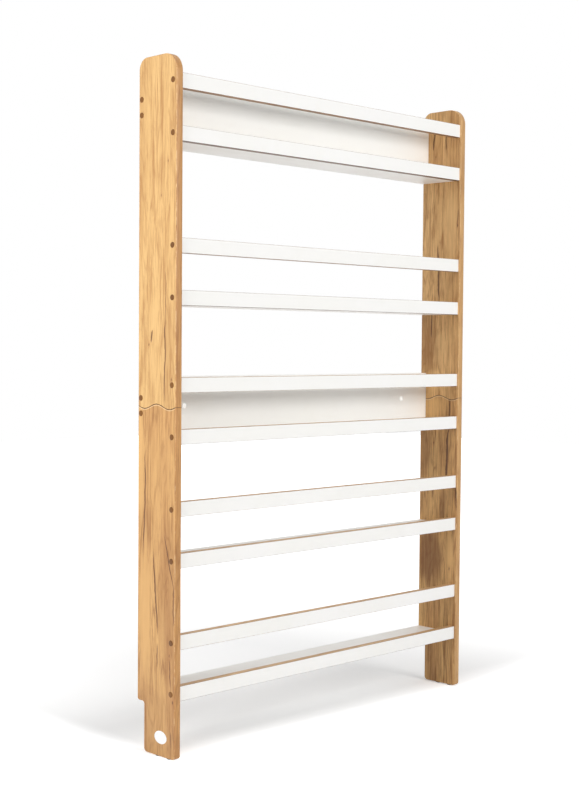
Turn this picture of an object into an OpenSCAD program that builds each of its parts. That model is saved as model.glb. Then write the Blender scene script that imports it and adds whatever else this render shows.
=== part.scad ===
// Childrens bookcase with five shallow pockets that show books face on.
// Two oak side panels, each made of two halves that meet on a wavy seam, carry
// white shelves, white front rails with oak edging and two narrow back panels.
// X runs along the shelves, Y from the front to the wall and Z up from the floor.

/* [Carcass] */
// Clear width between the side panels
inner_w = 900; // [600:1:1200]
// Depth of the side panels
depth = 120; // [100:1:160]
// Thickness of every board
board_t = 16; // [15:0.5:19]

/* [Side panels] */
// Rise of the side panels above the uppermost rail
top_over = 40; // [30:1:80]
// Radius of the top corner at the front
top_front_r = 38; // [10:1:45]
// Radius of the top corner at the back
top_back_r = 24; // [5:1:40]
// Radius of the two corners at the foot
foot_r = 8; // [3:0.5:12]
// Height of the skirting board notch above the foot
notch_h = 105; // [60:1:108]
// Depth of the skirting board notch
notch_d = 22; // [12:1:30]
// Radius in the inner corner of the notch
notch_inner_r = 6; // [2:0.5:8]
// Radius where the notch meets the back edge
notch_outer_r = 5.5; // [2:0.5:8]
// Thickness of the edge banding on the side panels
side_band_t = 1; // [0.4:0.1:1.5]

/* [Wavy seam] */
// Height of the wave's crests above the mid line of the seam
wave_amp = 5; // [2:0.5:8]
// Length of one wave
wave_l = 80; // [60:1:120]
// Joint gap between the two halves of a side panel
seam_gap = 0.3; // [0.1:0.1:0.8]
// Length of the dowels that join the two halves
seam_dowel_l = 40; // [30:1:60]
// Distance of the front seam dowel behind the front edge
seam_dowel_in = 20; // [12:1:30]
// Distance between the two seam dowels
seam_dowel_pitch = 40; // [20:1:50]

/* [Pockets] */
// Height of the lowest shelf above the foot of the side panels
shelf_up = 119; // [116:1:160]
// Rise from the first to the second shelf
rise_1 = 274; // [200:1:360]
// Rise from the second to the third shelf
rise_2 = 254; // [200:1:360]
// Rise from the third to the fourth shelf
rise_3 = 284; // [200:1:360]
// Rise from the fourth to the fifth shelf
rise_4 = 332; // [200:1:360]
// Height of a rail over its edging
rail_h = 31; // [28:0.5:40]
// Clear height between the two rails of a pocket
rail_gap = 75; // [50:1:100]
// Distance of the rails behind the front edges of the side panels
rail_set = 4; // [1:0.5:8]
// Thickness of the edging on rails and back panels
rail_band_t = 0.5; // [0.4:0.1:1]

/* [Furniture screws and caps] */
// Length of a furniture screw
screw_l = 50; // [40:1:60]
// Diameter of the smooth neck of a screw
screw_neck_d = 7; // [6.5:0.1:7.5]
// Length of a screw down to the end of its neck
screw_neck_l = 12; // [8:0.5:13]
// Mean diameter of the threaded part of a screw
screw_thread_d = 6; // [5:0.1:6.4]
// Diameter of a screw head
screw_head_d = 10; // [9:0.1:11]
// Height of the straight rim of a screw head
screw_rim_h = 0.8; // [0.5:0.1:1.5]
// Height of the cone under that rim
screw_cone_h = 2.2; // [1.5:0.1:3]
// Width across the flats of the hexagon socket
socket_w = 4; // [3:0.5:5]
// Depth of the hexagon socket
socket_depth = 2.6; // [2.5:0.1:4]
// Depth of a screw head below the face of the side panel
screw_sink = 0.3; // [0.1:0.1:1]
// Distance between the two screws in one end of a back panel
back_screw_pitch = 32; // [24:1:64]
// Diameter of a cover cap
cap_d = 12; // [11.6:0.1:14]
// Height of a cover cap at its crown
cap_h = 1.2; // [0.8:0.1:2]
// Height of a cover cap at its rim
cap_rim_h = 0.5; // [0.3:0.1:0.7]
// Diameter of the stem of a cover cap
cap_stem_d = 2.6; // [2:0.1:2.8]
// Length of the stem of a cover cap
cap_stem_l = 2; // [1:0.1:2.2]

/* [Wall fixing] */
// Distance of a wall fixing hole from the end of the back panel
wall_hole_in = 95; // [60:1:200]
// Height of a wall fixing hole above the lower edge of the back panel
wall_hole_up = 58; // [20:1:75]
// Diameter of a wall fixing hole
wall_hole_d = 5.5; // [4.5:0.1:7]
// Diameter of the counterbore for the head of the wall screw
wall_head_d = 10; // [9:0.1:12]
// Depth of that counterbore
wall_head_depth = 6; // [5:0.5:9]
// Width of the rim of the white plug round the counterbore
plug_rim = 0.5; // [0.3:0.1:2]
// Length of the stem of the white plug
plug_stem_l = 2; // [1:0.1:3]

/* [Dowels] */
// Diameter of a dowel
dowel_d = 8; // [6:0.5:8]
// Length of the dowels between boards
dowel_l = 30; // [25:1:40]
// Length of those dowels that sits in the face of a board
dowel_face_l = 10; // [7:0.5:12]
// Bevel at the ends of a dowel
dowel_bevel = 1; // [0.5:0.1:1.5]
// Distance of a shelf's end dowels from its front and back edges
shelf_dowel_in = 28; // [12:1:32]
// Distance of the outer rail dowels from the ends of the shelf
rail_dowel_in = 150; // [80:1:250]
// Play round dowels, screws and stems
fit_gap = 0.1; // [0.05:0.05:0.2]
// Free depth beyond the end of a dowel or screw
end_gap = 0.5; // [0.2:0.1:2]

/* [Floor glides] */
// Diameter of a glide
glide_d = 14; // [10:0.5:15]
// Height of a glide
glide_h = 2; // [1:0.5:5]
// Bevel round the bottom of a glide
glide_bevel = 0.5; // [0.2:0.1:0.8]
// Distance of the front glide behind the front edge
glide_in = 22; // [16:1:30]
// Distance between the two glides of a side panel
glide_pitch = 36; // [20:1:40]
// Diameter of the nail of a glide
nail_d = 2; // [1.5:0.1:3]
// Length of the nail of a glide
nail_l = 14; // [8:1:20]

/* [Hidden] */
$fn = 64;
pocket_count = 5;
pockets = [0 : pocket_count - 1];
// The pockets with a back panel, counted from 0 at the bottom
seam_pocket = 2;
backed_pockets = [seam_pocket, pocket_count - 1];
sides = [-1, 1];

// Finishes
oak = [0.80, 0.62, 0.40];
oak_edge = [0.72, 0.52, 0.30];
white = [0.95, 0.95, 0.93];
beech = [0.86, 0.72, 0.52];
steel = [0.72, 0.73, 0.75];
brown = [0.42, 0.27, 0.14];
dark = [0.22, 0.20, 0.18];

// Cuts run this far past the faces that they open
cut_over = 1;
// Straight pieces that a seam wave is drawn with
wave_steps = 60;
// Slopes from the rim of a cover cap to its crown
dome_slopes = 5;
// A hexagon's corners lie this much further out than its flats
hex_ratio = 2 / sqrt(3);

// Places along Y
front_y = -depth / 2;
back_y = depth / 2;
rail_y = front_y + rail_set;
rail_mid_y = rail_y + board_t / 2;
shelf_y = rail_y + board_t;
back_panel_y = back_y - board_t;
back_mid_y = back_y - board_t / 2;
notch_y = back_y - notch_d;
seam_dowel_ys = [for (k = [0, 1]) front_y + seam_dowel_in + k * seam_dowel_pitch];
glide_ys = [for (k = [0, 1]) front_y + glide_in + k * glide_pitch];
shelf_dowel_ys = [shelf_y + shelf_dowel_in, back_y - shelf_dowel_in];

// Places along X
inner_x = inner_w / 2;
outer_x = inner_x + board_t;
side_mid_x = inner_x + board_t / 2;
rail_dowel_xs = [-inner_x + rail_dowel_in, 0, inner_x - rail_dowel_in];
wall_hole_x = inner_x - wall_hole_in;

// Places along Z, from the floor
foot_z = glide_h;
rises = [shelf_up, rise_1, rise_2, rise_3, rise_4];
function shelf_z(p) = rises[p] + (p == 0 ? foot_z : shelf_z(p - 1));
function upper_rail_z(p) = shelf_z(p) + rail_h + rail_gap;
function pocket_top_z(p) = upper_rail_z(p) + rail_h;
function back_bottom_z(p) = shelf_z(p) + board_t;
function back_mid_z(p) = (back_bottom_z(p) + pocket_top_z(p)) / 2;
top_z = pocket_top_z(pocket_count - 1) + top_over;
notch_z = foot_z + notch_h;
seam_z = back_mid_z(seam_pocket);
wall_hole_z = back_bottom_z(seam_pocket) + wall_hole_up;
function wave_z(y) = seam_z + wave_amp * cos(360 * y / wave_l);

// Holes for dowels, screws and nails
dowel_hole_d = dowel_d + 2 * fit_gap;
dowel_end_l = dowel_l - dowel_face_l;
screw_in_l = screw_l + screw_sink - board_t;

// Middles of the screws in a side panel, as [y, z]
rail_screws = [for (p = pockets, z = [shelf_z(p), upper_rail_z(p)]) [rail_mid_y, z + rail_h / 2]];
back_screws = [
    for (p = backed_pockets, s = sides) [back_mid_y, back_mid_z(p) + s * back_screw_pitch / 2]
];
side_screws = concat(rail_screws, back_screws);
// Middles of the shelf dowels in a side panel, as [y, z]
side_dowels = [for (p = pockets, y = shelf_dowel_ys) [y, shelf_z(p) + board_t / 2]];

// Everything on the left is the right side's piece in the mirror
module on_side(side) {
    mirror([side < 0 ? 1 : 0, 0, 0]) children();
}

// Turns what stands on the XY plane so that it runs inwards from the right side
module facing_in(x, y, z) {
    translate([x, y, z]) rotate([0, -90, 0]) children();
}

// The part of a square corner that lies outside its round
module corner_waste(r) {
    difference() {
        square(r + cut_over);
        circle(r);
    }
}

// The cut for the skirting board, seen from the side
module notch_profile(inset) {
    difference() {
        translate([notch_y - inset, foot_z - cut_over])
            square([notch_d + inset + cut_over, notch_h + inset + cut_over]);
        translate([notch_y + notch_inner_r, notch_z - notch_inner_r])
            mirror([1, 0]) corner_waste(notch_inner_r + inset);
    }
}

// Outline of a whole side panel, with Y to the right and Z up
module side_profile(inset = 0) {
    difference() {
        translate([front_y + inset, foot_z + inset])
            square([depth - 2 * inset, top_z - foot_z - 2 * inset]);
        translate([front_y + top_front_r, top_z - top_front_r])
            mirror([1, 0]) corner_waste(top_front_r - inset);
        translate([back_y - top_back_r, top_z - top_back_r])
            corner_waste(top_back_r - inset);
        translate([front_y + foot_r, foot_z + foot_r])
            rotate(180) corner_waste(foot_r - inset);
        translate([notch_y - foot_r, foot_z + foot_r])
            mirror([0, 1]) corner_waste(foot_r - inset);
        translate([back_y - notch_outer_r, notch_z + notch_outer_r])
            mirror([0, 1]) corner_waste(notch_outer_r - inset);
        notch_profile(inset);
    }
}

// All that lies above the seam, or below it, shortened by half the joint gap
module seam_mask(upper) {
    y_from = front_y - cut_over;
    y_step = (depth + 2 * cut_over) / wave_steps;
    gap = (upper ? 1 : -1) * seam_gap / 2;
    end_z = upper ? top_z + cut_over : foot_z - cut_over;
    polygon(concat(
        [for (k = [0 : wave_steps]) [y_from + k * y_step, wave_z(y_from + k * y_step) + gap]],
        [[back_y + cut_over, end_z], [y_from, end_z]]
    ));
}

module extrude_side() {
    translate([inner_x, 0, 0]) rotate([90, 0, 90]) linear_extrude(board_t) children();
}

// Head recess and neck hole, from the outer face of the side panel inwards
module screw_hole() {
    head_z = screw_sink + screw_rim_h + fit_gap;
    translate([0, 0, -cut_over])
        cylinder(h = head_z + cut_over, d = screw_head_d + 2 * fit_gap);
    translate([0, 0, head_z])
        cylinder(
            h = screw_cone_h,
            d1 = screw_head_d + 2 * fit_gap,
            d2 = screw_neck_d + 2 * fit_gap
        );
    cylinder(h = board_t + cut_over, d = screw_neck_d + 2 * fit_gap);
}

// Hole for the threaded part of a screw in the end of a board
module screw_pilot() {
    translate([0, 0, -cut_over])
        cylinder(h = screw_in_l + end_gap + cut_over, d = screw_thread_d + 2 * fit_gap);
}

// Hole for the part of a dowel of length l that it holds
module dowel_hole(l) {
    translate([0, 0, -cut_over]) cylinder(h = l + end_gap + cut_over, d = dowel_hole_d);
}

module side_holes() {
    for (q = side_screws)
        facing_in(outer_x, q.x, q.y) screw_hole();
    for (q = side_dowels)
        translate([inner_x, q.x, q.y]) rotate([0, 90, 0]) dowel_hole(dowel_face_l);
    for (y = seam_dowel_ys)
        translate([side_mid_x, y, seam_z - seam_dowel_l / 2 - end_gap])
            cylinder(h = seam_dowel_l + 2 * end_gap, d = dowel_hole_d);
    nail_holes();
}

module nail_holes() {
    for (y = glide_ys)
        translate([side_mid_x, y, foot_z - cut_over])
            cylinder(h = nail_l + end_gap + cut_over, d = nail_d + 2 * fit_gap);
}

module side_half(upper) {
    color(oak)
        difference() {
            extrude_side()
                intersection() {
                    side_profile(side_band_t);
                    seam_mask(upper);
                }
            side_holes();
        }
}

// Edge banding round one half, open at the seam
module side_edging(upper) {
    color(oak_edge)
        difference() {
            extrude_side()
                intersection() {
                    difference() {
                        side_profile();
                        side_profile(side_band_t);
                    }
                    seam_mask(upper);
                }
            nail_holes();
        }
}

module shelf(p) {
    z = shelf_z(p);
    color(white)
        difference() {
            translate([-inner_x, shelf_y, z]) cube([inner_w, back_y - shelf_y, board_t]);
            for (x = rail_dowel_xs)
                translate([x, shelf_y, z + board_t / 2]) rotate([-90, 0, 0]) dowel_hole(dowel_end_l);
            for (side = sides, y = shelf_dowel_ys)
                on_side(side) facing_in(inner_x, y, z + board_t / 2) dowel_hole(dowel_end_l);
        }
}

// White core of a rail, whose lower edge over the edging lies at z
module rail(z) {
    difference() {
        translate([-inner_x, rail_y, z + rail_band_t])
            cube([inner_w, board_t, rail_h - 2 * rail_band_t]);
        for (side = sides)
            on_side(side) facing_in(inner_x, rail_mid_y, z + rail_h / 2) screw_pilot();
    }
}

module rail_lower(p) {
    z = shelf_z(p);
    color(white)
        difference() {
            rail(z);
            for (x = rail_dowel_xs)
                translate([x, shelf_y, z + board_t / 2]) rotate([90, 0, 0]) dowel_hole(dowel_face_l);
        }
}

module rail_upper(p) {
    color(white) rail(upper_rail_z(p));
}

// The two oak strips of a rail
module rail_edging(z) {
    color(oak_edge)
        for (strip_z = [z, z + rail_h - rail_band_t])
            translate([-inner_x, rail_y, strip_z]) cube([inner_w, board_t, rail_band_t]);
}

module back_panel(p) {
    z = back_bottom_z(p);
    color(white)
        difference() {
            translate([-inner_x, back_panel_y, z])
                cube([inner_w, board_t, pocket_top_z(p) - rail_band_t - z]);
            for (side = sides, s = sides)
                on_side(side)
                    facing_in(inner_x, back_mid_y, back_mid_z(p) + s * back_screw_pitch / 2)
                        screw_pilot();
            if (p == seam_pocket)
                for (side = sides)
                    translate([side * wall_hole_x, back_panel_y, wall_hole_z]) wall_hole();
        }
}

// Stepped hole for a wall screw, from the front face backwards
module wall_hole() {
    rotate([-90, 0, 0]) {
        translate([0, 0, -cut_over]) cylinder(h = board_t + 2 * cut_over, d = wall_hole_d);
        translate([0, 0, -cut_over]) cylinder(h = wall_head_depth + cut_over, d = wall_head_d);
    }
}

module back_panel_edging(p) {
    color(white)
        translate([-inner_x, back_panel_y, pocket_top_z(p) - rail_band_t])
            cube([inner_w, board_t, rail_band_t]);
}

// Low dome on the XY plane, turned in straight slopes that ease towards its rim, with a stem below it
module cap(d, stem_d, stem_l) {
    rotate_extrude()
        polygon(concat(
            [[0, 0], [d / 2, 0]],
            [for (k = [0 : dome_slopes], a = 90 * k / dome_slopes)
                [d / 2 * cos(a), cap_rim_h + (cap_h - cap_rim_h) * sin(a)]]
        ));
    translate([0, 0, -stem_l]) cylinder(h = stem_l + cap_rim_h, d = stem_d);
}

module wall_hole_plugs() {
    color(white)
        for (side = sides)
            translate([side * wall_hole_x, back_panel_y, wall_hole_z]) rotate([90, 0, 0])
                cap(wall_head_d + 2 * plug_rim, wall_head_d - 2 * fit_gap, plug_stem_l);
}

// Dowel of length l standing on the XY plane
module dowel(l) {
    end_d = dowel_d - 2 * dowel_bevel;
    cylinder(h = dowel_bevel, d1 = end_d, d2 = dowel_d);
    translate([0, 0, dowel_bevel]) cylinder(h = l - 2 * dowel_bevel, d = dowel_d);
    translate([0, 0, l - dowel_bevel]) cylinder(h = dowel_bevel, d1 = dowel_d, d2 = end_d);
}

module seam_dowels() {
    color(beech)
        for (side = sides, y = seam_dowel_ys)
            on_side(side) translate([side_mid_x, y, seam_z - seam_dowel_l / 2]) dowel(seam_dowel_l);
}

module shelf_end_dowels() {
    color(beech)
        for (side = sides, q = side_dowels)
            on_side(side) facing_in(inner_x + dowel_face_l, q.x, q.y) dowel(dowel_l);
}

module shelf_rail_dowels() {
    color(beech)
        for (p = pockets, x = rail_dowel_xs)
            translate([x, shelf_y - dowel_face_l, shelf_z(p) + board_t / 2])
                rotate([-90, 0, 0]) dowel(dowel_l);
}

// Furniture screw with its head on the XY plane, pointing up
module furniture_screw() {
    tip_h = screw_thread_d / 2;
    difference() {
        union() {
            cylinder(h = screw_rim_h, d = screw_head_d);
            translate([0, 0, screw_rim_h])
                cylinder(h = screw_cone_h, d1 = screw_head_d, d2 = screw_neck_d);
            cylinder(h = screw_neck_l, d = screw_neck_d);
            cylinder(h = screw_l - tip_h, d = screw_thread_d);
            translate([0, 0, screw_l - tip_h])
                cylinder(h = tip_h, d1 = screw_thread_d, d2 = screw_thread_d / 3);
        }
        translate([0, 0, -cut_over])
            cylinder(h = socket_depth + cut_over, d = socket_w * hex_ratio, $fn = 6);
    }
}

module furniture_screws() {
    color(steel)
        for (side = sides, q = side_screws)
            on_side(side) facing_in(outer_x - screw_sink, q.x, q.y) furniture_screw();
}

module screw_caps() {
    color(brown)
        for (q = side_screws)
            translate([outer_x, q.x, q.y]) rotate([0, 90, 0]) cap(cap_d, cap_stem_d, cap_stem_l);
}

// Glide under a side panel at y, with its nail
module glide(y) {
    color(dark)
        translate([side_mid_x, y, 0]) {
            cylinder(h = glide_bevel, d1 = glide_d - 2 * glide_bevel, d2 = glide_d);
            translate([0, 0, glide_bevel]) cylinder(h = glide_h - glide_bevel, d = glide_d);
            cylinder(h = glide_h + nail_l - nail_d, d = nail_d);
            translate([0, 0, glide_h + nail_l - nail_d])
                cylinder(h = nail_d, d1 = nail_d, d2 = nail_d / 4);
        }
}

for (side = sides) {
    hand = side < 0 ? "left" : "right";
    on_side(side) side_half(false);
    on_side(side) side_half(true);
    on_side(side) side_edging(false);
    on_side(side) side_edging(true);
    on_side(side) screw_caps();
    on_side(side) glide(glide_ys[0]);
    on_side(side) glide(glide_ys[1]);
}
for (p = pockets) {
    shelf(p);
    rail_lower(p);
    rail_upper(p);
    rail_edging(shelf_z(p));
    rail_edging(upper_rail_z(p));
}
back_panel(backed_pockets[0]);  // back_panel_middle
back_panel(backed_pockets[1]);  // back_panel_top
back_panel_edging(backed_pockets[0]);  // back_panel_middle_edging
back_panel_edging(backed_pockets[1]);  // back_panel_top_edging
wall_hole_plugs();
seam_dowels();
shelf_end_dowels();
shelf_rail_dowels();
furniture_screws();
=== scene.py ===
import math

import bmesh
import bpy
from mathutils import Matrix, Vector
from mathutils.bvhtree import BVHTree


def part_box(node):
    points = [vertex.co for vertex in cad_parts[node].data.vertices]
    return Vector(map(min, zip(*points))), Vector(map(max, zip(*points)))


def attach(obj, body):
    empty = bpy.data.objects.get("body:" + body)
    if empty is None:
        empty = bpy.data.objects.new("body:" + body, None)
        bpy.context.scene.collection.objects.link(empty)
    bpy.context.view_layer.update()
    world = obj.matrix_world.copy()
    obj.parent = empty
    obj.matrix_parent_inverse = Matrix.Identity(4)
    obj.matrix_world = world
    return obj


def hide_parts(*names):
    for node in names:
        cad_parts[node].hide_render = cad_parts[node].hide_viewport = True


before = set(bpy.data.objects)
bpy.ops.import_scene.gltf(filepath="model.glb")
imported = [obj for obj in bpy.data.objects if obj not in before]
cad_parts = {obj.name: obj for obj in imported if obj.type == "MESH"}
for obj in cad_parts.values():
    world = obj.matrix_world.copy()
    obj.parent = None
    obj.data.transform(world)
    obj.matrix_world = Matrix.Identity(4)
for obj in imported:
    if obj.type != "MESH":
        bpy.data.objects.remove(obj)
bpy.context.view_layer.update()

# Side panels: four 16 mm boards of chipboard faced with a golden oak decor, sawn apart on a wavy seam.
# Both faces carry the printed grain, with its dark splits and knots, and a light embossing of pores.
# The lower pair stands on the floor first, and the upper pair is set on it with dowels across the seam.


def tone(red, green, blue):
    """Linear colour of a tone that is given as it looks, from 0 to 255."""
    def plain(value):
        value /= 255
        return value / 12.92 if value <= 0.04045 else ((value + 0.055) / 1.055) ** 2.4
    return (plain(red), plain(green), plain(blue), 1)


def put(tree, kind, inputs=None, **settings):
    """Adds a shader node with its settings, and sets or links its inputs."""
    new = tree.nodes.new("ShaderNode" + kind)
    for name, value in settings.items():
        setattr(new, name, value)
    for name, value in (inputs or {}).items():
        if isinstance(value, bpy.types.NodeSocket):
            tree.links.new(value, new.inputs[name])
        else:
            new.inputs[name].default_value = value
    return new


def reckon(tree, how, *values):
    """Result of one Math node."""
    return put(tree, "Math", dict(enumerate(values)), operation=how).outputs[0]


def ease(tree, value, low, high, start=0, end=1):
    """Smooth step of a value from start, at low, to end, at high."""
    inputs = {"Value": value, "From Min": low, "From Max": high, "To Min": start, "To Max": end}
    return put(tree, "MapRange", inputs, interpolation_type="SMOOTHSTEP").outputs[0]


def blend(tree, share, first, second):
    """Two colours blended: a share of the second, and the rest of the first."""
    return put(tree, "Mix", {0: share, 6: first, 7: second}, data_type="RGBA").outputs[2]


def cloud(tree, vector, scale=1, detail=2, rough=0.5, warp=0):
    """Soft noise between 0 and 1."""
    inputs = {"Vector": vector, "Scale": scale, "Detail": detail, "Roughness": rough, "Distortion": warp}
    return put(tree, "TexNoise", inputs).outputs[0]


def point(tree, x, y, z):
    """Point made of three values."""
    return put(tree, "CombineXYZ", {"X": x, "Y": y, "Z": z}).outputs[0]


def new_group(name, inputs, outputs):
    """Shader node group with named sockets, as (group, what goes in, what comes out)."""
    group = bpy.data.node_groups.new(name, "ShaderNodeTree")
    for label, kind, value in inputs:
        socket = group.interface.new_socket(label, in_out="INPUT", socket_type="NodeSocket" + kind)
        socket.default_value = value
    for label, kind in outputs:
        group.interface.new_socket(label, in_out="OUTPUT", socket_type="NodeSocket" + kind)
    given = group.nodes.new("NodeGroupInput").outputs
    made = group.nodes.new("NodeGroupOutput").inputs
    return group, given, made


def use_group(tree, group, **inputs):
    """Places a group in a material, with its values, and returns its outputs."""
    return put(tree, "Group", inputs, node_tree=group).outputs


def make_oak_grain():
    """Oak figure: pale and honey zones, flame lines, fine streaks and short open pores."""
    group, given, made = new_group(
        "oak_grain",
        [("Across", "Float", 0), ("Along", "Float", 0), ("Sheet", "Float", 0),
         ("Pale", "Color", (1, 1, 1, 1)), ("Honey", "Color", (1, 1, 1, 1)),
         ("Brown", "Color", (1, 1, 1, 1))],
        [("Color", "Color"), ("Height", "Float"), ("Roughness", "Float")],
    )

    def stretched(across, along):
        """Place on the sheet, with about so many spots a metre across the board and along it."""
        return point(
            group,
            reckon(group, "MULTIPLY", given["Across"], across),
            given["Sheet"],
            reckon(group, "MULTIPLY", given["Along"], along),
        )

    zones = ease(group, cloud(group, stretched(24, 1.6), detail=2), 0.36, 0.64)
    blotches = cloud(group, stretched(62, 13), detail=4, rough=0.6, warp=0.5)
    flame = cloud(group, stretched(17, 1.7), detail=3, rough=0.4, warp=0.5)
    rings = reckon(group, "SINE", reckon(group, "MULTIPLY", flame, 130))
    rings = reckon(group, "POWER", reckon(group, "MULTIPLY_ADD", rings, 0.5, 0.5), 4)
    rings = reckon(group, "MULTIPLY", rings, ease(group, blotches, 0.35, 0.65, 0.15, 0.6))
    streaks = cloud(group, stretched(185, 7), detail=5, rough=0.66)
    dashes = ease(group, cloud(group, stretched(360, 24), detail=3), 0.57, 0.72)
    hairs = ease(group, cloud(group, stretched(620, 14), detail=3), 0.5, 0.72)
    pores = ease(group, cloud(group, stretched(1300, 75), detail=2), 0.6, 0.7)
    color = blend(group, zones, given["Pale"], given["Honey"])
    color = blend(group, ease(group, blotches, 0.3, 0.46, 0.45, 0), color, given["Pale"])
    color = blend(group, ease(group, blotches, 0.5, 0.72, 0, 0.5), color, given["Brown"])
    color = blend(group, rings, color, given["Brown"])
    color = blend(group, ease(group, streaks, 0.44, 0.74, 0, 0.85), color, given["Brown"])
    color = blend(group, reckon(group, "MULTIPLY", dashes, 0.5), color, given["Brown"])
    color = blend(group, reckon(group, "MULTIPLY", hairs, 0.25), color, given["Brown"])
    color = blend(group, reckon(group, "MULTIPLY", pores, 0.4), color, given["Brown"])
    group.links.new(color, made["Color"])
    dips = reckon(group, "MULTIPLY_ADD", pores, 0.7, reckon(group, "MULTIPLY", hairs, 0.3))
    group.links.new(reckon(group, "SUBTRACT", 1, dips), made["Height"])
    group.links.new(ease(group, streaks, 0.3, 0.8, 0.42, 0.58), made["Roughness"])
    return group


def make_board_split():
    """A drying split that the decor shows: a dark, crooked line that tapers, with a soft side."""
    group, given, made = new_group(
        "board_split",
        [("Across", "Float", 0), ("Along", "Float", 0), ("From", "Float", 0), ("To", "Float", 0.1),
         ("Place", "Float", 0), ("Lean", "Float", 0), ("Width", "Float", 0.001)],
        [("Line", "Float"), ("Shade", "Float")],
    )
    run = reckon(group, "SUBTRACT", given["Along"], given["From"])
    run = reckon(group, "DIVIDE", run, reckon(group, "SUBTRACT", given["To"], given["From"]))
    path = reckon(group, "MULTIPLY_ADD", run, given["Lean"], given["Place"])
    wide_sway, fine_sway = 0.012, 0.003
    along_slow = reckon(group, "MULTIPLY", given["Along"], 14)
    along_quick = reckon(group, "MULTIPLY", given["Along"], 70)
    slow = cloud(group, point(group, given["From"], 0, along_slow), detail=1)
    quick = cloud(group, point(group, given["From"], 3, along_quick), detail=2)
    for noise, sway in ((slow, wide_sway), (quick, fine_sway)):
        path = reckon(group, "ADD", path, reckon(group, "MULTIPLY_ADD", noise, sway, -sway / 2))
    off = reckon(group, "ABSOLUTE", reckon(group, "SUBTRACT", given["Across"], path))
    inside = reckon(group, "MULTIPLY", ease(group, run, 0, 0.3), ease(group, run, 0.7, 1, 1, 0))
    swell = reckon(group, "MULTIPLY", inside, reckon(group, "MULTIPLY_ADD", quick, 1.2, 0.4))
    width = reckon(group, "MULTIPLY", given["Width"], swell)
    outer = reckon(group, "MULTIPLY_ADD", width, 1.6, 0.0002)
    line = ease(group, off, reckon(group, "MULTIPLY", width, 0.4), outer, 1, 0)
    line = reckon(group, "MULTIPLY", line, ease(group, inside, 0, 0.3))
    group.links.new(line, made["Line"])
    shade = ease(group, off, 0, reckon(group, "MULTIPLY_ADD", given["Width"], 3, 0.003), 1, 0)
    group.links.new(reckon(group, "MULTIPLY", shade, inside), made["Shade"])
    return group


def off_middle(group, given, half_width):
    """Distance from the middle of an oval: across and along in its half sizes, and both together."""
    across = reckon(group, "SUBTRACT", given["Across"], given["Place"])
    across = reckon(group, "DIVIDE", across, half_width)
    along = reckon(group, "SUBTRACT", given["Along"], given["Height"])
    along = reckon(group, "DIVIDE", along, given["Length"])
    squares = reckon(group, "MULTIPLY", across, across), reckon(group, "MULTIPLY", along, along)
    return across, along, reckon(group, "SQRT", reckon(group, "ADD", *squares))


def make_knot():
    """A small pin knot: a dark, uneven heart with a ring of denser grain round it."""
    group, given, made = new_group(
        "knot",
        [("Across", "Float", 0), ("Along", "Float", 0), ("Place", "Float", 0), ("Height", "Float", 0),
         ("Radius", "Float", 0.003), ("Length", "Float", 0.008)],
        [("Heart", "Float"), ("Ring", "Float")],
    )
    across, along, far = off_middle(group, given, given["Radius"])
    ragged = cloud(group, point(group, across, given["Height"], along), scale=1.7, detail=3)
    far = reckon(group, "ADD", far, reckon(group, "MULTIPLY_ADD", ragged, 1.4, -0.7))
    group.links.new(ease(group, far, 0.35, 1, 1, 0), made["Heart"])
    group.links.new(ease(group, far, 0.8, 3.2, 1, 0), made["Ring"])
    return group


def make_figure_patch():
    """A soft-edged, drawn-out area where the figure of the wood is darker or paler."""
    group, given, made = new_group(
        "figure_patch",
        [("Across", "Float", 0), ("Along", "Float", 0), ("Place", "Float", 0), ("Height", "Float", 0),
         ("Width", "Float", 0.02), ("Length", "Float", 0.1)],
        [("Mask", "Float")],
    )
    far = off_middle(group, given, given["Width"])[2]
    across = reckon(group, "MULTIPLY", given["Across"], 110)
    along = reckon(group, "MULTIPLY", given["Along"], 9)
    ragged = cloud(group, point(group, across, given["Height"], along), detail=3, rough=0.6)
    far = reckon(group, "ADD", far, reckon(group, "MULTIPLY_ADD", ragged, 1.2, -0.6))
    group.links.new(ease(group, far, 0.45, 1.15, 1, 0), made["Mask"])
    return group


oak_grain = make_oak_grain()
board_split = make_board_split()
knot = make_knot()
figure_patch = make_figure_patch()


def new_finish(name, specular=0.5):
    """A material with its specular level set, as (material, tree, shader, place on the object)."""
    finish = bpy.data.materials.new(name)
    finish.use_nodes = True
    tree = finish.node_tree
    shader = tree.nodes["Principled BSDF"]
    shader.inputs["Specular IOR Level"].default_value = specular
    return finish, tree, shader, put(tree, "TexCoord").outputs["Object"]


def add_relief(tree, shader, height, depth, strength=0.5):
    """Bump of a height, as deep as given in metres."""
    bump = put(tree, "Bump", {"Height": height, "Distance": depth, "Strength": strength})
    tree.links.new(bump.outputs[0], shader.inputs["Normal"])


board_middle_x = (abs(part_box("side_lower_left")[0].x) + abs(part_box("side_lower_left")[1].x)) / 2
seam_height = sum(corner.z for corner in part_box("seam_dowels")) / 2
wave_height = 0.005
wave_length = 0.08
other_face_up = 0.23
other_face_sheet = 3.7
split_dark = tone(86, 54, 28)
split_shade = tone(172, 118, 72)
seam_dark = tone(66, 42, 20)
# A pale tone and band just under the seam paint a highlight on the rim of the lower board.
seam_highlight_tone = tone(248, 220, 176)
saw_line = 0.0005, 0.0013
highlight_rim_from = -0.0034, -0.0024
highlight_rim_to = -0.0018, -0.0012


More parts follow.
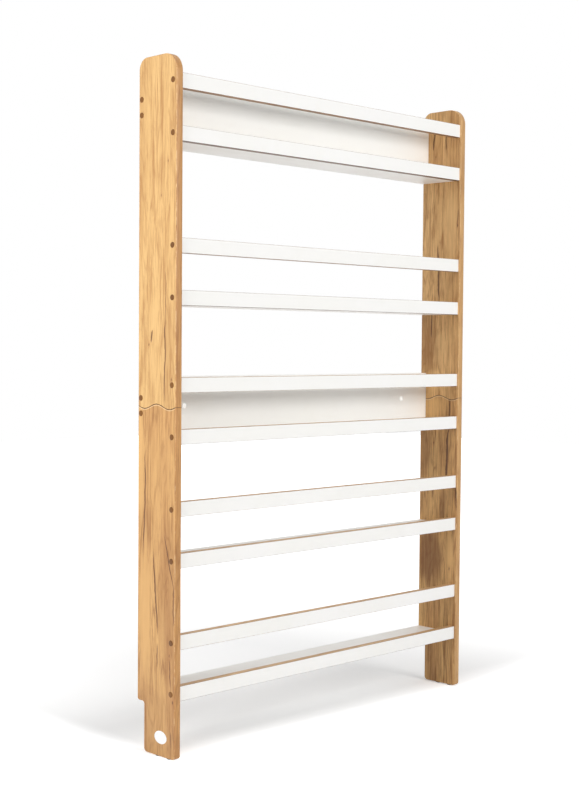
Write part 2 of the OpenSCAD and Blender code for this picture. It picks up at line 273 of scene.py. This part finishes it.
def oak_board(name, hand, marked_inside, sheet, tones, patches, splits, knots):
    """Oak decor of one side panel half, left (-1) or right (1), with marks on its outer or inner face.

    The other face shows another part of the same sheet, without them. Marks are given in metres: across
    counts from the middle of the panel's depth towards its back edge, and height from the floor.
    Patches hold across, height, half width, half length and share (below 0 for a pale patch),
    splits hold low end, high end, across at the low end, lean up to the high end and width,
    and knots hold across, height, half width and half length.
    """
    finish, tree, shader, place = new_finish(name, specular=0.4)
    axes = put(tree, "SeparateXYZ", {0: place}).outputs
    depth_in = reckon(tree, "MULTIPLY", axes["X"], hand)
    inside = reckon(tree, "LESS_THAN", depth_in, board_middle_x)
    turned = reckon(tree, "SUBTRACT", 1, inside) if marked_inside else inside
    flip = reckon(tree, "MULTIPLY_ADD", turned, -2, 1)
    across = reckon(tree, "MULTIPLY", axes["Y"], flip)
    along = reckon(tree, "MULTIPLY_ADD", turned, other_face_up, axes["Z"])
    number = reckon(tree, "MULTIPLY_ADD", turned, other_face_sheet, sheet)
    pale, honey, brown = tones
    figure = use_group(tree, oak_grain, Across=across, Along=along, Sheet=number,
                       Pale=pale, Honey=honey, Brown=brown)
    color, height = figure["Color"], figure["Height"]
    for side, up, width, length, share in patches:
        area = use_group(tree, figure_patch, Across=across, Along=along, Place=side, Height=up,
                         Width=width, Length=length)
        color = blend(tree, reckon(tree, "MULTIPLY", area["Mask"], abs(share)), color,
                      brown if share > 0 else pale)
    for low, high, start, lean, width in splits:
        split = use_group(tree, board_split, Across=across, Along=along, From=low, To=high,
                          Place=start, Lean=lean, Width=width)
        color = blend(tree, reckon(tree, "MULTIPLY", split["Shade"], 0.28), color, split_shade)
        color = blend(tree, reckon(tree, "MULTIPLY", split["Line"], 0.95), color, split_dark)
        height = reckon(tree, "SUBTRACT", height, split["Line"])
    for side, up, radius, length in knots:
        mark = use_group(tree, knot, Across=across, Along=along, Place=side, Height=up,
                         Radius=radius, Length=length)
        color = blend(tree, reckon(tree, "MULTIPLY", mark["Ring"], 0.35), color, split_shade)
        color = blend(tree, reckon(tree, "MULTIPLY", mark["Heart"], 0.8), color, split_dark)
    turn = reckon(tree, "MULTIPLY", axes["Y"], 2 * math.pi / wave_length)
    wave = reckon(tree, "MULTIPLY_ADD", reckon(tree, "COSINE", turn), wave_height, seam_height)
    above = reckon(tree, "SUBTRACT", axes["Z"], wave)
    sawn = ease(tree, reckon(tree, "ABSOLUTE", above), *saw_line, 1, 0)
    sawn = reckon(tree, "MULTIPLY", sawn, ease(tree, cloud(tree, place, scale=90), 0.35, 0.6, 0.7, 1))
    # Painted highlight: a pale band just under the seam, where the rim of the lower board would catch the
    # light.
    seam_highlight = reckon(tree, "MULTIPLY", ease(tree, above, *highlight_rim_from),
                 ease(tree, above, *highlight_rim_to, 1, 0))
    color = blend(tree, reckon(tree, "MULTIPLY", seam_highlight, 0.5), color, seam_highlight_tone)
    color = blend(tree, sawn, color, seam_dark)
    tree.links.new(color, shader.inputs["Base Color"])
    tree.links.new(figure["Roughness"], shader.inputs["Roughness"])
    add_relief(tree, shader, height, 0.00025)
    return finish


def dress(finish, *nodes):
    """Gives CAD pieces their finish."""
    for node in nodes:
        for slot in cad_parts[node].material_slots:
            slot.material = finish


upper_left_tones = tone(217, 177, 118), tone(207, 166, 108), tone(165, 118, 69)
lower_left_tones = tone(211, 166, 107), tone(191, 144, 91), tone(143, 96, 53)
upper_right_tones = tone(227, 184, 126), tone(212, 167, 109), tone(152, 102, 54)
lower_right_tones = tone(222, 177, 116), tone(198, 151, 96), tone(130, 84, 44)
dress(
    oak_board("oak_upper_left", -1, False, 0.4, upper_left_tones,
              [(-0.040, 0.850, 0.018, 0.120, 0.35), (0.052, 1.200, 0.014, 0.200, 0.30),
               (0.010, 0.860, 0.018, 0.110, -0.5)],
              [(0.722, 0.930, -0.024, -0.002, 0.0013), (0.900, 1.010, -0.027, 0.001, 0.0005),
               (0.855, 0.885, 0.020, -0.007, 0.0016)],
              [(0.026, 0.853, 0.0016, 0.004), (-0.046, 0.782, 0.0018, 0.006),
               (-0.034, 1.225, 0.0014, 0.004), (-0.013, 1.157, 0.0010, 0.004)]),
    "side_upper_left")
# The last patch of the lower left board is painted shade: it darkens the board near the floor.
dress(
    oak_board("oak_lower_left", -1, False, 2.1, lower_left_tones,
              [(0.036, 0.290, 0.024, 0.180, -0.85), (-0.040, 0.330, 0.030, 0.220, 0.3),
               (0.052, 0.600, 0.012, 0.140, -0.8), (-0.010, 0.100, 0.030, 0.070, -0.3),
               (-0.015, 0.590, 0.050, 0.130, -0.3), (0.010, 0.060, 0.070, 0.110, 0.28)],
              [(0.395, 0.650, 0.046, -0.013, 0.0014), (0.240, 0.440, -0.008, 0.020, 0.0016),
               (0.350, 0.470, -0.056, 0.034, 0.0013), (0.270, 0.370, -0.055, -0.001, 0.0012),
               (0.145, 0.215, -0.047, 0.004, 0.0010), (0.020, 0.062, -0.050, 0.002, 0.0009),
               (0.180, 0.240, -0.004, -0.001, 0.0008)],
              [(-0.043, 0.215, 0.0014, 0.005), (-0.054, 0.120, 0.0024, 0.006)]),
    "side_lower_left")
# On the right boards the brown is darker, and most dark patches lie towards the back edge and pale ones
# towards the front: partly the decor, and partly painted shade, as the inner face is darker towards the
# back.
dress(
    oak_board("oak_upper_right", 1, True, 5.3, upper_right_tones,
              [(0.046, 0.860, 0.034, 0.100, 0.6), (0.040, 1.345, 0.034, 0.050, 0.3),
               (-0.032, 1.160, 0.020, 0.120, -0.6), (0.015, 0.765, 0.030, 0.030, -0.4)],
              [(0.950, 1.120, 0.006, 0.003, 0.0018), (0.870, 0.945, 0.026, 0.002, 0.0014),
               (1.342, 1.402, 0.028, -0.006, 0.0020), (1.340, 1.392, -0.014, 0.001, 0.0014),
               (1.150, 1.198, -0.052, -0.001, 0.0008)],
              [(-0.052, 1.155, 0.0024, 0.006), (0.020, 1.330, 0.0014, 0.004)]),
    "side_upper_right")
dress(
    oak_board("oak_lower_right", 1, True, 7.9, lower_right_tones,
              [(0.026, 0.320, 0.042, 0.090, 0.75), (-0.038, 0.330, 0.014, 0.060, -0.8),
               (-0.016, 0.460, 0.014, 0.050, 0.5), (0.050, 0.590, 0.032, 0.080, 0.5),
               (0.020, 0.700, 0.030, 0.030, -0.6), (0.020, 0.060, 0.024, 0.080, 0.15)],
              [(0.630, 0.735, -0.034, 0.002, 0.0016), (0.495, 0.665, -0.021, -0.013, 0.0024),
               (0.425, 0.512, -0.061, 0.009, 0.0022)],
              [(0.016, 0.610, 0.0018, 0.005), (-0.038, 0.294, 0.0020, 0.006)]),
    "side_lower_right")


# Edge banding of the side panels: a 1 mm plastic strip, 16 mm wide, printed with the same oak decor.
# It is glued round each half before the seam is closed, and its corners are rounded over by the trimmer.


def eased_copy(node, core, name, thick, round_over, side_axis):
    """Copy of a CAD strip, to stand for it, with its two long outer corners rounded over.

    The outer faces are those that lie away from the board, the core. The long corners are those that
    they share with the faces that look along the side axis, 0 for X or 1 for Y.
    """
    strip = bpy.data.objects.new(name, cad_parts[node].data.copy())
    bpy.context.scene.collection.objects.link(strip)
    bpy.ops.object.select_all(action="DESELECT")
    strip.select_set(True)
    bpy.context.view_layer.objects.active = strip
    bpy.ops.mesh.customdata_custom_splitnormals_clear()
    bpy.ops.object.mode_set(mode="EDIT")
    bpy.ops.mesh.select_all(action="SELECT")
    bpy.ops.mesh.remove_doubles(threshold=0.000005)
    bpy.ops.mesh.dissolve_limited(angle_limit=math.radians(0.5))
    bpy.ops.mesh.select_all(action="DESELECT")
    bpy.ops.mesh.select_mode(type="EDGE")
    board = BVHTree.FromObject(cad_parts[core], bpy.context.evaluated_depsgraph_get())
    shape = bmesh.from_edit_mesh(strip.data)
    outer = {face for face in shape.faces
             if board.find_nearest(face.calc_center_median())[3] > 0.75 * thick}
    for edge in shape.edges:
        faces = set(edge.link_faces)
        beside = faces - outer
        if len(faces) == 2 and len(beside) == 1:
            edge.select_set(abs(next(iter(beside)).normal[side_axis]) > 0.99)
    bmesh.update_edit_mesh(strip.data)
    bpy.ops.mesh.bevel(offset=round_over, segments=3, affect="EDGES")
    bpy.ops.object.mode_set(mode="OBJECT")
    bpy.ops.object.shade_smooth_by_angle(angle=math.radians(35))
    strip.data.materials.clear()
    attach(strip, "root")
    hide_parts(node)
    return strip


def make_edge_wear_and_highlight():
    """Pale broken patches close to an edge: marks where hands and books rub it, and a painted highlight.
    """
    group, given, made = new_group(
        "edge_wear_and_highlight",
        [("Distance", "Float", 0), ("Width", "Float", 0.001), ("Place", "Vector", (0, 0, 0))],
        [("Wear_and_highlight", "Float")],
    )
    patches = ease(group, cloud(group, given["Place"], scale=60, detail=4, rough=0.6), 0.42, 0.68)
    near = ease(group, given["Distance"], 0, given["Width"], 1, 0)
    group.links.new(reckon(group, "MULTIPLY", near, patches), made["Wear_and_highlight"])
    return group


# Pale patches along the corners of the strips: handling marks and a painted highlight.
edge_wear_and_highlight = make_edge_wear_and_highlight()
wear_and_highlight_tone = tone(238, 206, 160)
wear_and_highlight_width = 0.0022


def oak_band(name, sheet, tones, across_axis, edge_places, wear_and_highlight_share):
    """Oak decor printed on a strip, paler near its corners, which are worn and carry a painted highlight.

    The edge places are where those corners lie on the axis across the strip. Returns the material, its
    tree and shader, the colour so far and the place on each axis.
    """
    finish, tree, shader, place = new_finish(name, specular=0.45)
    axes = put(tree, "SeparateXYZ", {0: place}).outputs
    others = [axes[label] for label in "XYZ" if label != across_axis]
    along = reckon(tree, "ADD", *others)
    pale, honey, brown = tones
    figure = use_group(tree, oak_grain, Across=axes[across_axis], Along=along, Sheet=sheet,
                       Pale=pale, Honey=honey, Brown=brown)
    color = figure["Color"]
    for edge_place in edge_places:
        distance = reckon(tree, "ABSOLUTE", reckon(tree, "SUBTRACT", axes[across_axis], edge_place))
        wear_and_highlight_mask = use_group(tree, edge_wear_and_highlight, Distance=distance, Width=wear_and_highlight_width, Place=place)["Wear_and_highlight"]
        color = blend(tree, reckon(tree, "MULTIPLY", wear_and_highlight_mask, wear_and_highlight_share), color, wear_and_highlight_tone)
    tree.links.new(color, shader.inputs["Base Color"])
    tree.links.new(figure["Roughness"], shader.inputs["Roughness"])
    add_relief(tree, shader, figure["Height"], 0.0001, 0.4)
    return finish, tree, shader, color, axes


side_band_thick = 0.001
side_band_round = 0.0008
band_joint_dark = tone(84, 56, 32)
left_band_tones = tone(204, 152, 92), tone(190, 138, 82), tone(154, 105, 58)
right_band_tones = tone(210, 166, 110), tone(196, 152, 98), tone(158, 112, 66)
for hand, sheet, tones in (("left", 10, left_band_tones), ("right", 12, right_band_tones)):
    low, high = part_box("edging_lower_" + hand)
    side_band_finish, tree, shader, color, axes = oak_band(
        "oak_band_" + hand, sheet, tones, "X", [low.x, high.x], 0.5)
    above = reckon(tree, "SUBTRACT", axes["Z"], seam_height)
    parting = ease(tree, reckon(tree, "ABSOLUTE", above), 0.0003, 0.0012, 0.6, 0)
    tree.links.new(blend(tree, parting, color, band_joint_dark), shader.inputs["Base Color"])
    for half in ("lower", "upper"):
        band = eased_copy(f"edging_{half}_{hand}", f"side_{half}_{hand}", f"side_band_{half}_{hand}",
                          side_band_thick, side_band_round, 0)
        band.data.materials.append(side_band_finish)


# Dowels: beech pegs, 8 mm thick and bevelled at the ends, glued into one board and pushed into the next.
# They hold the shelves to the sides, the rails to the shelves and the two halves of each side together.
beech_finish, tree, shader, place = new_finish("beech_peg", specular=0.3)
axes = put(tree, "SeparateXYZ", {0: place}).outputs
figure = use_group(tree, oak_grain, Across=reckon(tree, "MULTIPLY", axes["Y"], 2), Along=axes["X"],
                   Sheet=21, Pale=tone(226, 190, 146), Honey=tone(214, 174, 128),
                   Brown=tone(184, 138, 94))
fleck_place = point(tree, reckon(tree, "MULTIPLY", axes["X"], 300), axes["Y"],
                    reckon(tree, "MULTIPLY", axes["Z"], 900))
flecks = ease(tree, cloud(tree, fleck_place, detail=2), 0.6, 0.7)
tree.links.new(blend(tree, reckon(tree, "MULTIPLY", flecks, 0.4), figure["Color"], tone(160, 112, 72)),
               shader.inputs["Base Color"])
tree.links.new(ease(tree, flecks, 0, 1, 0.62, 0.75), shader.inputs["Roughness"])
add_relief(tree, shader, figure["Height"], 0.0001)
dress(beech_finish, "seam_dowels", "shelf_end_dowels", "shelf_rail_dowels")


# Shelves, rails and back panels: 16 mm chipboard faced in white melamine with a fine pearl texture.
# Each shelf is dowelled to the sides and to the rail in front of it. The rails and back panels are
# screwed through the sides, and the top edge of each back panel carries a white strip.


smudge_tone = tone(226, 222, 214)


def white_board(name, base, warm):
    """White melamine: a fine pearled surface, with faint marks where it is handled."""
    finish, tree, shader, place = new_finish(name, specular=0.4)
    drift = cloud(tree, place, scale=5, detail=3)
    smudges = ease(tree, cloud(tree, place, scale=22, detail=4, rough=0.6, warp=0.4), 0.52, 0.75)
    color = blend(tree, ease(tree, drift, 0.3, 0.7), base, warm)
    color = blend(tree, reckon(tree, "MULTIPLY", smudges, 0.08), color, smudge_tone)
    tree.links.new(color, shader.inputs["Base Color"])
    gloss = reckon(tree, "MULTIPLY_ADD", smudges, 0.1, ease(tree, drift, 0.3, 0.7, 0.36, 0.44))
    tree.links.new(gloss, shader.inputs["Roughness"])
    pearls = cloud(tree, place, scale=900, detail=2, rough=0.4)
    add_relief(tree, shader, pearls, 0.00005, 0.4)
    return finish


# The shelves get a whiter tone than the rails, and the back panels the whitest: painted light, as they
# stand deeper in the shade.
dress(white_board("white_rail_melamine", tone(246, 245, 243), tone(244, 243, 239)),
      *[f"rail_{row}_{level}" for row in ("lower", "upper") for level in range(1, 6)])
dress(white_board("white_shelf_melamine", tone(253, 252, 248), tone(251, 249, 244)),
      *[f"shelf_{level}" for level in range(1, 6)])
dress(white_board("white_back_melamine", tone(255, 254, 251), tone(253, 252, 248)),
      "back_panel_middle", "back_panel_top")
dress(white_board("white_band", tone(254, 254, 252), tone(251, 251, 248)),
      "back_panel_middle_edging", "back_panel_top_edging")


# Rail edging: oak coloured strips, half a millimetre thick, along the top and bottom edge of each rail.
# They are glued on before the rails are cut to length, and their long corners are scraped round.
# The corner along the front of each strip is darker, most of all on the lower rails: partly the darker
# plastic under the printed decor, and partly painted shade.
rail_front_y, rail_back_y = (corner.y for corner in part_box("rail_lower_1"))
rail_band_thick = 0.0005
rail_band_round = 0.0003
rail_top_tones = tone(222, 182, 134), tone(208, 166, 118), tone(166, 124, 80)
# The strips under the rails have darker tones than those on top, darkest under the lower rails: painted
# shade.
lower_under_shaded_tones = tone(112, 70, 36), tone(102, 64, 33), tone(80, 50, 26)
upper_under_shaded_tones = tone(162, 120, 82), tone(150, 109, 74), tone(116, 82, 54)
rail_band_finishes = {}
for name, sheet, front_tone, tones in (
    ("lower_top", 31, tone(84, 52, 28), rail_top_tones),
    ("lower_under", 37, tone(56, 33, 16), lower_under_shaded_tones),
    ("upper_top", 33, tone(120, 84, 52), rail_top_tones),
    ("upper_under", 39, tone(126, 90, 58), upper_under_shaded_tones),
):
    finish, tree, shader, color, axes = oak_band(
        "oak_rail_" + name, sheet, tones, "Y", [rail_back_y], 0.3)
    front = ease(tree, reckon(tree, "SUBTRACT", axes["Y"], rail_front_y), 0.0003, 0.0009, 0.8, 0)
    tree.links.new(blend(tree, front, color, front_tone), shader.inputs["Base Color"])
    rail_band_finishes[name] = finish
for level in range(1, 6):
    for row in ("lower", "upper"):
        rail = f"rail_{row}_{level}"
        band = eased_copy(rail + "_edging", rail, rail + "_band", rail_band_thick, rail_band_round, 1)
        for edge in ("top", "under"):
            band.data.materials.append(rail_band_finishes[f"{row}_{edge}"])
        middle = sum(corner.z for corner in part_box(rail)) / 2
        for face in band.data.polygons:
            face.material_index = 0 if face.center.z > middle else 1


# Furniture screws: zinc plated steel, 50 mm long with a hexagon socket, one in each end of a rail and two
# in each end of a back panel. They are driven through the sides with a key and pull the boards tight.
steel_finish, tree, shader, place = new_finish("zinc_steel")
rings_round_axis = (3000, 60, 60)
drawn_out = put(tree, "Mapping", {"Vector": place, "Scale": rings_round_axis}).outputs[0]
turned_marks = cloud(tree, drawn_out, detail=3)
bloom = ease(tree, cloud(tree, place, scale=140, detail=3), 0.4, 0.7)
tree.links.new(blend(tree, bloom, tone(196, 198, 202), tone(170, 172, 170)), shader.inputs["Base Color"])
tree.links.new(ease(tree, turned_marks, 0.3, 0.7, 0.26, 0.42), shader.inputs["Roughness"])
tree.links.new(ease(tree, bloom, 0, 1, 1, 0.9), shader.inputs["Metallic"])
add_relief(tree, shader, turned_marks, 0.00003)
dress(steel_finish, "furniture_screws")


# Cover caps: brown plastic discs with a low dome, 12 mm wide, whose stems are pressed into the screws.
# The mould leaves a soft rim and a small gate mark in the middle of each.


slopes = 7
cap_radius = 0.006
button_rim = 0.0005
button_crown = 0.0012


def domed_button(name, centres, outward, radius):
    """Low domed discs that face outward from their centres, made once and copied to each place."""
    bpy.ops.object.select_all(action="DESELECT")
    bpy.ops.mesh.primitive_circle_add(vertices=48, radius=radius, fill_type="NGON", location=(0, 0, 0))
    first = bpy.context.active_object
    bpy.ops.object.mode_set(mode="EDIT")
    bpy.ops.mesh.select_all(action="SELECT")
    bpy.ops.mesh.extrude_region_move(TRANSFORM_OT_translate={"value": (0, 0, button_rim)})
    dome = button_crown - button_rim
    for step in range(1, slopes):
        start, end = (math.pi / 2 * (step - 1) / slopes, math.pi / 2 * step / slopes)
        bpy.ops.mesh.inset(thickness=radius * (math.cos(start) - math.cos(end)),
                           depth=dome * (math.sin(end) - math.sin(start)))
    gate = radius * math.cos(math.pi / 2 * (slopes - 1) / slopes) * 0.5
    bpy.ops.mesh.inset(thickness=gate * 0.7, depth=0)
    bpy.ops.mesh.inset(thickness=gate * 0.2, depth=-dome * 0.05)
    bpy.ops.mesh.select_all(action="SELECT")
    bpy.ops.mesh.normals_make_consistent(inside=False)
    bpy.ops.object.mode_set(mode="OBJECT")
    bpy.ops.object.shade_smooth_by_angle(angle=math.radians(50))
    turned = outward.to_track_quat("Z", "Y").to_matrix().to_4x4()
    copies = []
    for centre in centres:
        button = bpy.data.objects.new(name, first.data.copy())
        bpy.context.scene.collection.objects.link(button)
        button.data.transform(Matrix.Translation(centre) @ turned)
        copies.append(button)
    bpy.data.objects.remove(first)
    bpy.ops.object.select_all(action="DESELECT")
    for button in copies:
        button.select_set(True)
    bpy.context.view_layer.objects.active = copies[0]
    bpy.ops.object.join()
    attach(copies[0], "root")
    return copies[0]


cap_finish, tree, shader, place = new_finish("brown_cap_plastic", specular=0.3)
speckle = cloud(tree, place, scale=700, detail=3)
batch = ease(tree, cloud(tree, place, scale=9, detail=1), 0.3, 0.7)
color = blend(tree, batch, tone(124, 80, 30), tone(106, 66, 24))
color = blend(tree, ease(tree, speckle, 0.5, 0.8, 0, 0.3), color, tone(84, 52, 22))
tree.links.new(color, shader.inputs["Base Color"])
tree.links.new(ease(tree, speckle, 0.3, 0.7, 0.3, 0.42), shader.inputs["Roughness"])
add_relief(tree, shader, speckle, 0.00004)

back_screw_pitch = 0.032
for hand, sign in (("left", -1), ("right", 1)):
    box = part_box("side_lower_" + hand)
    face_x = box[0].x if sign < 0 else box[1].x
    centres = []
    for level in range(1, 6):
        for row in ("lower", "upper"):
            low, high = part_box(f"rail_{row}_{level}")
            centres.append((low + high) / 2)
    for panel in ("back_panel_middle", "back_panel_top"):
        low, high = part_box(panel)
        middle = (low + high) / 2
        middle.z = (low.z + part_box(panel + "_edging")[1].z) / 2
        for step in (-0.5, 0.5):
            centre = middle.copy()
            centre.z += step * back_screw_pitch
            centres.append(centre)
    for centre in centres:
        centre.x = face_x
    caps = domed_button("caps_" + hand, centres, Vector((sign, 0, 0)), cap_radius)
    caps.data.materials.append(cap_finish)
    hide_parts("screw_caps_" + hand)


# Wall fixing plugs: two white plastic discs that close the stepped holes for the wall screws.
# They are pressed into the front face of the middle back panel. Their finish adds a faint glow, painted
# light that makes them a brighter white than the panel in the same shade.
plug_painted_glow = 0.32
plug_finish, tree, shader, place = new_finish("white_plug_plastic")
shader.inputs["Coat Weight"].default_value = 0.3
shader.inputs["Coat Roughness"].default_value = 0.08
shader.inputs["Emission Strength"].default_value = plug_painted_glow
cream = ease(tree, cloud(tree, place, scale=60, detail=3), 0.3, 0.7)
color = blend(tree, cream, tone(255, 255, 254), tone(252, 252, 250))
tree.links.new(color, shader.inputs["Base Color"])
tree.links.new(color, shader.inputs["Emission Color"])
skin = cloud(tree, place, scale=400, detail=2)
tree.links.new(ease(tree, skin, 0.3, 0.7, 0.22, 0.3), shader.inputs["Roughness"])
add_relief(tree, shader, skin, 0.00002)
plug_low, plug_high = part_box("wall_hole_plugs")
panel_face_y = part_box("back_panel_middle")[0].y
plug_radius = (plug_high.z - plug_low.z) / 2
plug_centres = []
for x in (plug_low.x + plug_radius, plug_high.x - plug_radius):
    centre = (plug_low + plug_high) / 2
    centre.x, centre.y = x, panel_face_y
    plug_centres.append(centre)
plugs = domed_button("wall_plugs", plug_centres, Vector((0, -1, 0)), plug_radius)
plugs.data.materials.append(plug_finish)
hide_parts("wall_hole_plugs")


# Glides: dark plastic buttons, two under each side panel, that keep its foot 2 mm off the floor.
# Each is moulded round the head of a nail that is hammered into the bottom edge of the board.
glide_finish, tree, shader, place = new_finish("dark_glide_plastic", specular=0.4)
grit = cloud(tree, place, scale=1200, detail=3)
tree.links.new(blend(tree, grit, tone(52, 48, 44), tone(70, 65, 60)), shader.inputs["Base Color"])
tree.links.new(ease(tree, grit, 0.3, 0.7, 0.45, 0.6), shader.inputs["Roughness"])
add_relief(tree, shader, grit, 0.00005)
dress(glide_finish, *[f"glide_{row}_{hand}" for row in ("front", "rear") for hand in ("left", "right")])


# Blank label: a white oval of satin vinyl on the outer face of the left panel, near its foot.
# It is punched from a self-adhesive sheet, which rounds its rim a little, and stuck flat on the decor.
label_wide, label_high, label_thick = 0.039, 0.027, 0.00015
rim_width, crown_width, crown_rise = 0.0006, 0.004, 0.00002
label_y, label_z = -0.016, 0.0415
label_finish, tree, shader, place = new_finish("blank_vinyl")
fibre = cloud(tree, place, scale=350, detail=3)
tree.links.new(blend(tree, ease(tree, fibre, 0.4, 0.8), tone(238, 239, 240), tone(229, 230, 231)),
               shader.inputs["Base Color"])
tree.links.new(ease(tree, fibre, 0.3, 0.7, 0.3, 0.4), shader.inputs["Roughness"])
add_relief(tree, shader, fibre, 0.00003)
bpy.ops.object.select_all(action="DESELECT")
bpy.ops.mesh.primitive_circle_add(vertices=72, radius=0.5, fill_type="NGON")
label = bpy.context.active_object
label.name = label.data.name = "blank_label"
label.scale = (label_wide, label_high, 1)
bpy.ops.object.transform_apply(location=False, rotation=False, scale=True)
bpy.ops.object.mode_set(mode="EDIT")
bpy.ops.mesh.select_all(action="SELECT")
bpy.ops.mesh.extrude_region_move(TRANSFORM_OT_translate={"value": (0, 0, label_thick)})
bpy.ops.mesh.inset(thickness=rim_width, depth=0)
bpy.ops.mesh.inset(thickness=crown_width, depth=crown_rise)
bpy.ops.mesh.select_all(action="SELECT")
bpy.ops.mesh.normals_make_consistent(inside=False)
bpy.ops.object.mode_set(mode="OBJECT")
bpy.ops.object.shade_smooth_by_angle(angle=math.radians(30))
left_face_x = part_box("side_lower_left")[0].x
stood_up = Matrix.Rotation(math.radians(-90), 4, "Z") @ Matrix.Rotation(math.radians(90), 4, "X")
label.data.transform(Matrix.Translation((left_face_x, label_y, label_z)) @ stood_up)
label.data.materials.append(label_finish)
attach(label, "root")


# The studio: a white floor that keeps the soft shadow, three large soft lamps and an even white room.
# One lamp stands beside the left panel, one in front, and a weak one overhead lights the top pocket.
# The floor glows when seen directly, least close to the object: a painted shadow that fades out
# in front, to the left, and well behind and to the right.


def seen_directly(tree):
    """1 for rays that show the room itself: from the camera, and through or off glossy things."""
    ray = put(tree, "LightPath").outputs
    mirrored = reckon(tree, "MAXIMUM", ray["Is Glossy Ray"], ray["Is Transmission Ray"])
    return reckon(tree, "MAXIMUM", ray["Is Camera Ray"], mirrored)


bpy.ops.object.select_all(action="DESELECT")
bpy.ops.mesh.primitive_plane_add(size=16, location=(0, 0, 0))
floor = bpy.context.active_object
floor.name = floor.data.name = "floor"
floor_finish, tree, shader, place = new_finish("white_floor", specular=0.1)
shader.inputs["Base Color"].default_value = (0.9, 0.9, 0.9, 1)
shader.inputs["Roughness"].default_value = 0.9
axes = put(tree, "SeparateXYZ", {0: place}).outputs
# The painted shadow is deepest along a line just behind the object. From there the glow rises slowly to
# the back and the right, and fast to the front and the left.
shadow_right, rise_right = 0.4, 1.7
shadow_left, rise_left = -0.42, 10
shadow_line, rise_front = 0.08, 7
past_right = reckon(tree, "MULTIPLY_ADD", axes["X"], rise_right, -rise_right * shadow_right)
past_left = reckon(tree, "MULTIPLY_ADD", axes["X"], -rise_left, rise_left * shadow_left)
beside = reckon(tree, "MAXIMUM", reckon(tree, "MAXIMUM", past_right, past_left), 0)
behind = reckon(tree, "SUBTRACT", axes["Y"], shadow_line)
behind = reckon(tree, "MAXIMUM", behind, reckon(tree, "MULTIPLY", behind, -rise_front))
far = put(tree, "VectorMath", {0: point(tree, beside, behind, 0)}, operation="LENGTH").outputs["Value"]
left_foot_x, mid_shadow_x = -0.35, 0.2
least_glow = ease(tree, axes["X"], left_foot_x, mid_shadow_x, 0.02, 0.16)
full_glow_far = ease(tree, axes["X"], left_foot_x, mid_shadow_x, 1.6, 2.4)
glow = ease(tree, far, -0.1, full_glow_far, least_glow, 1)
shader.inputs["Emission Color"].default_value = (1, 1, 1, 1)
tree.links.new(reckon(tree, "MULTIPLY", seen_directly(tree), glow), shader.inputs["Emission Strength"])
floor.data.materials.append(floor_finish)

room = bpy.data.worlds.new("white_room")
bpy.context.scene.world = room
room.use_nodes = True
tree = room.node_tree
room_light = 0.37
light = tree.nodes["Background"]
light.inputs["Color"].default_value = (1, 1, 1, 1)
light.inputs["Strength"].default_value = room_light
backdrop = put(tree, "Background", {"Color": (1, 1, 1, 1), "Strength": 1})
either = put(tree, "MixShader", {0: seen_directly(tree), 1: light.outputs[0], 2: backdrop.outputs[0]})
tree.links.new(either.outputs[0], tree.nodes["World Output"].inputs["Surface"])


def soft_lamp(name, place, target, size, power):
    """Square soft lamp that points at a target, with its side in metres and its power in watts."""
    bpy.ops.object.light_add(type="AREA", location=place)
    lamp = bpy.context.active_object
    lamp.name = lamp.data.name = name
    lamp.data.shape = "SQUARE"
    lamp.data.size = size
    lamp.data.energy = power
    lamp.rotation_euler = (Vector(place) - Vector(target)).to_track_quat("Z", "Y").to_euler()


soft_lamp("side_lamp", (-2.1, -0.1, 1.35), (-0.4, 0, 0.75), 0.9, 30)
soft_lamp("front_lamp", (0.3, -2.5, 1.58), (0, 0, 0.7), 0.8, 31)
soft_lamp("top_lamp", (0, -0.3, 3.2), (0, 0, 0.7), 1.6, 9)

# The camera: a 62 mm lens a little above half the height of the piece, to the front left of it.
# It is turned 45 degrees and looks a little down.
camera_place = -2.2598, -2.1981, 0.8511
heading, look_down, roll = math.radians(-44.734), math.radians(2.233), math.radians(0.428)
bpy.ops.object.camera_add()
camera = bpy.context.active_object
camera.data.lens = 61.88
camera.matrix_world = (
    Matrix.Translation(camera_place)
    @ Matrix.Rotation(heading, 4, "Z")
    @ Matrix.Rotation(math.radians(90) - look_down, 4, "X")
    @ Matrix.Rotation(roll, 4, "Z")
)
bpy.context.scene.camera = camera
bpy.context.scene.view_settings.view_transform = "Standard"
